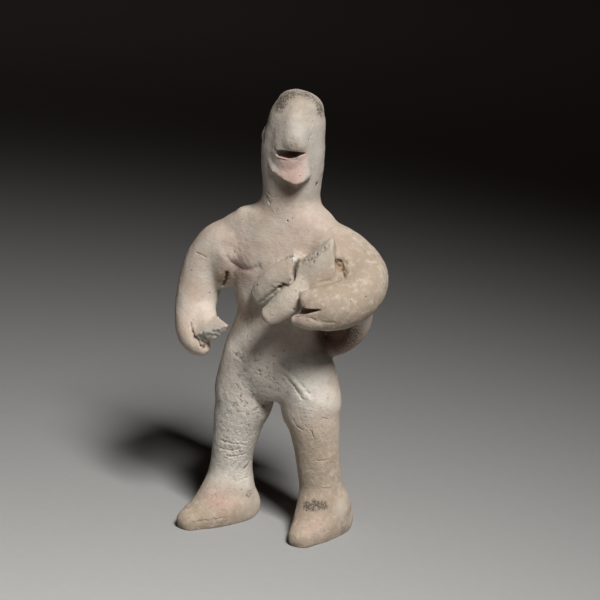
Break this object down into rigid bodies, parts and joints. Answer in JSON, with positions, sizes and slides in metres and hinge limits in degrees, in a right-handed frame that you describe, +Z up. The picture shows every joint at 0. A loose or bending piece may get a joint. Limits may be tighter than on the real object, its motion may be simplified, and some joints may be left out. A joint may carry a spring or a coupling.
{
  "type": "male figurine",
  "caption": "Standing hand-modelled clay man with pinched nose and chin, one arm curled round a held bundle, the other hand gripping a broken stump.",
  "frame": {"origin": "centre of the figure's box at the ground, under the two feet", "axes": "+Z up through the head, -Y the way the figure faces, +X towards the figure's left side"},
  "size_m": [0.0774, 0.0352, 0.15],
  "materials": {
    "fired_clay": "matt unglazed fired clay, worn and soiled"
  },
  "bodies": {
    "root": {"figurine": "fired_clay"}
  },
  "joints": []
}
